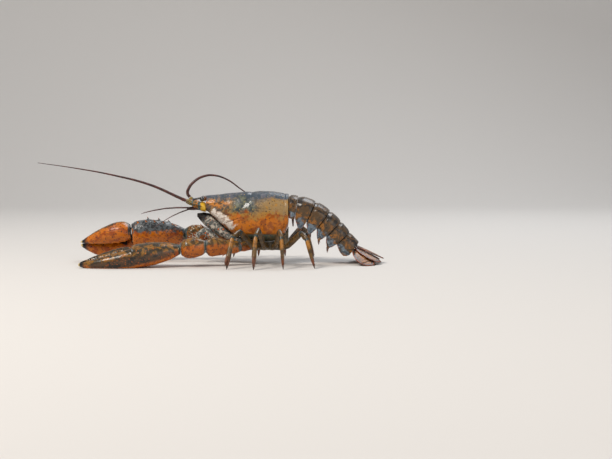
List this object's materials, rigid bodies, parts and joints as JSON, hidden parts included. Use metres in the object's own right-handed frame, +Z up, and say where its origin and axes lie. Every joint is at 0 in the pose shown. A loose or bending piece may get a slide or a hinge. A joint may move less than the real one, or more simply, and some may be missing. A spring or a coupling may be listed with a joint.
{
  "type": "american lobster",
  "caption": "Life-size still model of an American lobster standing on its walking legs, with its claws laid forward, its tail arched down to the floor and long antennae.",
  "frame": {"origin": "middle of the floor rectangle under the whole animal, antennae included, at the height of the floor it stands on", "axes": "-X is the way the animal faces, +Z is up, and -Y is its own left side, which the picture shows"},
  "size_m": [0.3658, 0.1654, 0.1101],
  "materials": {
    "shell": "olive-brown carapace, blue-grey along the back and amber on the lower flank",
    "claw": "amber and orange claws with black specks and red spine tips",
    "leg": "olive-brown walking legs with ochre bands at the joints",
    "tail": "dark brown plates with blue-grey patches and orange edges",
    "fan": "amber-brown fan blades with dark rims and red-brown fringes",
    "swimmeret": "red-brown swimmerets",
    "whip": "maroon-brown antennae and antennules",
    "eye": "glossy black eyes",
    "mouth": "pale, crusted mouthparts with orange dots"
  },
  "bodies": {
    "root": {"carapace": "shell", "sternum": "shell", "antenna_base_left": "claw", "arm_base_left": "claw", "arm_merus_left": "claw", "arm_carpus_left": "claw", "claw_palm_left": "claw", "claw_finger_left": "claw", "antenna_base_right": "claw", "arm_base_right": "claw", "arm_merus_right": "claw", "arm_carpus_right": "claw", "claw_palm_right": "claw", "claw_finger_right": "claw", "leg_1_left_upper": "leg", "leg_1_left_lower": "leg", "leg_1_right_upper": "leg", "leg_1_right_lower": "leg", "leg_2_left_upper": "leg", "leg_2_left_lower": "leg", "leg_2_right_upper": "leg", "leg_2_right_lower": "leg", "leg_3_left_upper": "leg", "leg_3_left_lower": "leg", "leg_3_right_upper": "leg", "leg_3_right_lower": "leg", "leg_4_left_upper": "leg", "leg_4_left_lower": "leg", "leg_4_right_upper": "leg", "leg_4_right_lower": "leg", "tail_plate_1": "tail", "tail_plate_2": "tail", "tail_plate_3": "tail", "tail_plate_4": "tail", "tail_plate_5": "tail", "tail_plate_6": "tail", "telson": "fan", "uropod_inner_left": "fan", "uropod_inner_right": "fan", "uropod_outer_left": "fan", "uropod_outer_right": "fan", "swimmeret_1_left": "swimmeret", "swimmeret_1_right": "swimmeret", "swimmeret_2_left": "swimmeret", "swimmeret_2_right": "swimmeret", "swimmeret_3_left": "swimmeret", "swimmeret_3_right": "swimmeret", "swimmeret_4_left": "swimmeret", "swimmeret_4_right": "swimmeret", "swimmeret_5_left": "swimmeret", "swimmeret_5_right": "swimmeret", "antenna_whip_left": "whip", "antenna_whip_right": "whip", "antennule_left": "whip", "antennule_right": "whip", "eye_left": "eye", "eye_right": "eye", "jaws": "mouth", "maxilliped_left": "mouth", "maxilliped_right": "mouth"}
  },
  "joints": []
}
